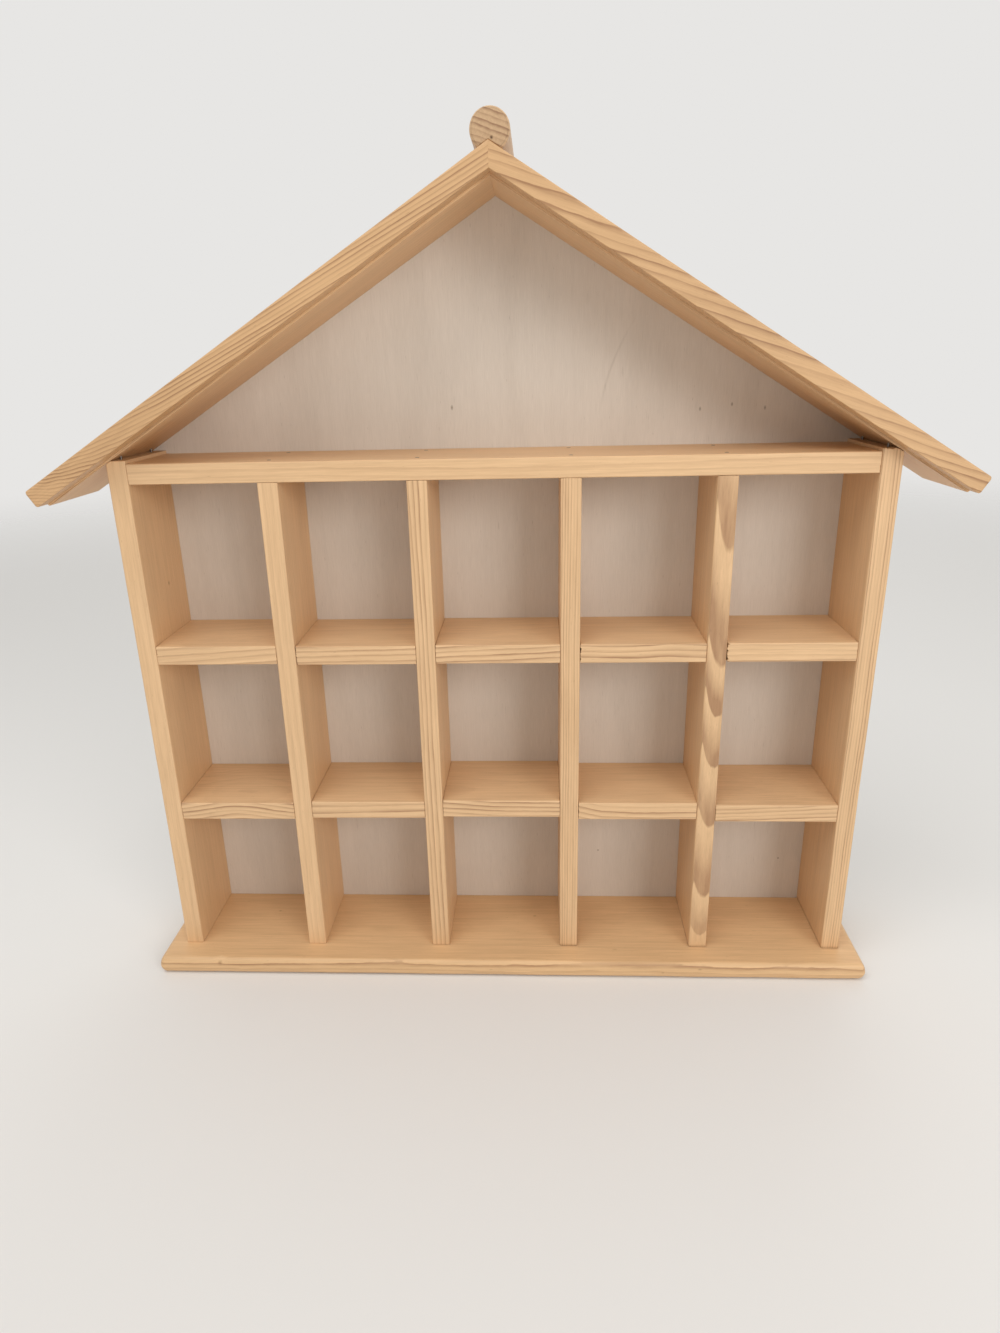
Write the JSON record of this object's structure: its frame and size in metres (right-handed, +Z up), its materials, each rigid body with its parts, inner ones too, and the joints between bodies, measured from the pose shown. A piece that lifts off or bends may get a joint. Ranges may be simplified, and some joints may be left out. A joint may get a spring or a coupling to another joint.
{
  "type": "wall shelf",
  "caption": "House-shaped wooden wall shelf: a gridded open case on a projecting base board, under a pitched roof with a round ridge pole, closed by a plywood back panel with hanging holes.",
  "frame": {"origin": "middle of the bounding box in plan, on the plane that the base board stands on", "axes": "+Z up, +Y into the wall with the open front facing -Y, +X to the viewer's right, across the cells"},
  "size_m": [0.4508, 0.0684, 0.4279],
  "materials": {
    "pine": "planed pine under a thin clear satin finish",
    "plywood": "pale plywood with a vertical face grain, sanded and bare",
    "pole": "turned softwood pole, lightly finished",
    "steel": "bright drawn steel wire nails, slightly dulled"
  },
  "bodies": {
    "root": {"back_panel": "plywood", "bargeboard_left": "pine", "bargeboard_pins": "steel", "bargeboard_right": "pine", "base_board": "pine", "base_brads": "steel", "divider_1": "pine", "divider_2": "pine", "divider_3": "pine", "divider_4": "pine", "left_upright": "pine", "lower_shelf_1": "pine", "lower_shelf_2": "pine", "lower_shelf_3": "pine", "lower_shelf_4": "pine", "lower_shelf_5": "pine", "panel_nails": "steel", "ridge_pole": "pole", "ridge_pole_brads": "steel", "right_upright": "pine", "roof_board_left": "pine", "roof_board_right": "pine", "roof_brads": "steel", "shelf_brads": "steel", "top_board": "pine", "top_board_brads": "steel", "upper_shelf_1": "pine", "upper_shelf_2": "pine", "upper_shelf_3": "pine", "upper_shelf_4": "pine", "upper_shelf_5": "pine"}
  },
  "joints": []
}
